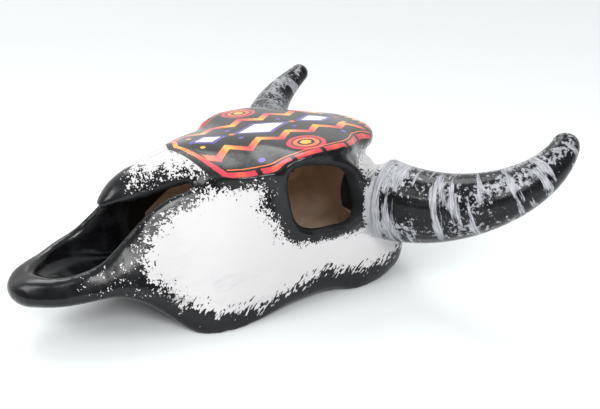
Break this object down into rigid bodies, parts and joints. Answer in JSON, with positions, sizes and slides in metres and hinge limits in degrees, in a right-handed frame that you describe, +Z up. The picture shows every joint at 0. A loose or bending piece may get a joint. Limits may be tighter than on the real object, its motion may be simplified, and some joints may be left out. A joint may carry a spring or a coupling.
{
  "type": "painted ceramic longhorn skull decoration",
  "caption": "Hollow glazed ceramic longhorn skull decoration with open eye sockets and nose, a painted brow plate and separately cast curved horns, lying on its base.",
  "frame": {"origin": "middle of the whole outline seen from above, on the surface that the skull lies on", "axes": "+X towards the skull's own left horn, -Y towards its snout, +Z up"},
  "size_m": [0.4824, 0.4638, 0.1723],
  "materials": {
    "glazed_ceramic": "white and black glaze paint with torn brushed edges, bare brown clay inside",
    "horn_paint": "black glaze with light grey dry brush strokes"
  },
  "bodies": {
    "root": {"skull_shell": "glazed_ceramic", "horn_left": "horn_paint", "horn_right": "horn_paint"}
  },
  "joints": []
}
